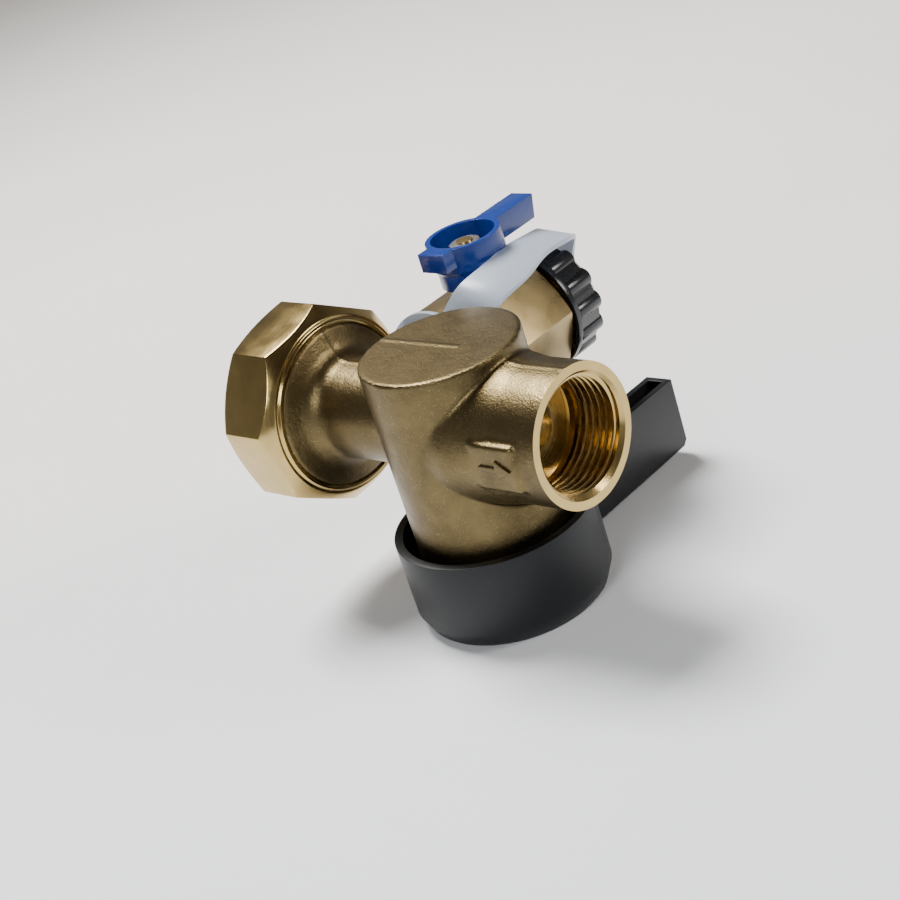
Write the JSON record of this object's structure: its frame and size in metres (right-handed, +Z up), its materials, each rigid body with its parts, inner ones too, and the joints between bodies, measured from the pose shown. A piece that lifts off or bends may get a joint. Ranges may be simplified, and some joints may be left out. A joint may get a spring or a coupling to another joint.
{
  "type": "backflow preventer",
  "caption": "Brass water meter outlet valve with a union nut, ball valve, check valve and a small capped drain valve on its side.",
  "frame": {"origin": "centre of the outlet mouth, on the flow axis", "axes": "+X along the flow axis, the way the water leaves; +Z up along the main stem axis towards the closed top of the body, so the main handle is underneath; +Y towards the drain valve"},
  "size_m": [0.0873, 0.0868, 0.073],
  "materials": {
    "cast_brass": "sand cast and tumbled brass, matt with fine sparkle",
    "machined_brass": "turned bright brass",
    "hex_brass": "hot pressed brass hexagon, satin",
    "ring_bronze": "drawn bronze wire",
    "plated_ball": "polished chrome plate",
    "steel": "nickel plated steel",
    "black_plastic": "glass filled nylon, finely textured, satin matt",
    "cap_plastic": "moulded black plastic, glossy",
    "blue_plastic": "moulded blue plastic, glossy",
    "strap_plastic": "milky translucent soft plastic",
    "check_plastic": "white acetal",
    "poppet_plastic": "blue grey acetal",
    "ptfe": "white fluoropolymer",
    "rubber": "black nitrile rubber",
    "gasket": "flat fibre-rubber gasket"
  },
  "bodies": {
    "body": {"valve_body": "cast_brass", "outlet_seat": "ptfe", "inlet_seat": "ptfe", "bonnet": "machined_brass", "bonnet_o_ring": "rubber", "thrust_washer": "ptfe", "check_housing": "check_plastic", "check_o_ring": "rubber", "check_guide": "check_plastic", "check_spring": "steel", "snap_ring": "ring_bronze", "inlet_gasket": "gasket", "drain_body": "hex_brass", "drain_inner_seat": "ptfe", "drain_outer_seat": "ptfe", "drain_seat_retainer": "machined_brass", "drain_stem_o_ring": "rubber", "strap": "strap_plastic"},
    "union": {"union_nut": "machined_brass"},
    "main_valve": {"main_handle": "black_plastic", "handle_screw": "steel", "main_stem": "machined_brass", "stem_o_rings": "rubber", "main_ball": "plated_ball"},
    "drain_valve": {"drain_handle": "blue_plastic", "drain_handle_nut": "steel", "drain_stem": "machined_brass", "drain_ball": "plated_ball"},
    "strap_end": {"strap_rivet": "strap_plastic"},
    "cap": {"drain_cap": "cap_plastic", "cap_gasket": "rubber"},
    "poppet": {"check_poppet": "poppet_plastic", "poppet_seal": "rubber"}
  },
  "joints": [
    {"name": "main_valve_turn", "type": "hinge", "parent": "body", "child": "main_valve", "pos_m": [-0.0338, 0, 0], "axis": [0, 0, -1], "range_deg": [0, 90]},
    {"name": "drain_valve_turn", "type": "hinge", "parent": "body", "child": "drain_valve", "pos_m": [-0.0538, 0.0344, 0], "axis": [0, 0, 1], "range_deg": [0, 90]},
    {"name": "union_nut_turn", "type": "hinge", "parent": "body", "child": "union", "pos_m": [-0.079, 0, 0], "axis": [1, 0, 0], "continuous": true},
    {"name": "cap_slide", "type": "slide", "parent": "body", "child": "strap_end", "axis": [0, 1, 0], "range_m": [0, 0.008], "deforming": ["strap"]},
    {"name": "cap_turn", "type": "hinge", "parent": "strap_end", "child": "cap", "pos_m": [-0.0538, 0.055, 0], "axis": [0, 1, 0], "range_deg": [0, 1590]},
    {"name": "poppet_slide", "type": "slide", "parent": "body", "child": "poppet", "axis": [1, 0, 0], "range_m": [0, 0.005], "stiffness_N_per_m": 120, "springref_m": -0.003, "deforming": ["check_spring"]}
  ],
  "couplings": [
    {"joint": "cap_turn", "follows": "cap_slide", "rad_per_m": 3463.7}
  ]
}
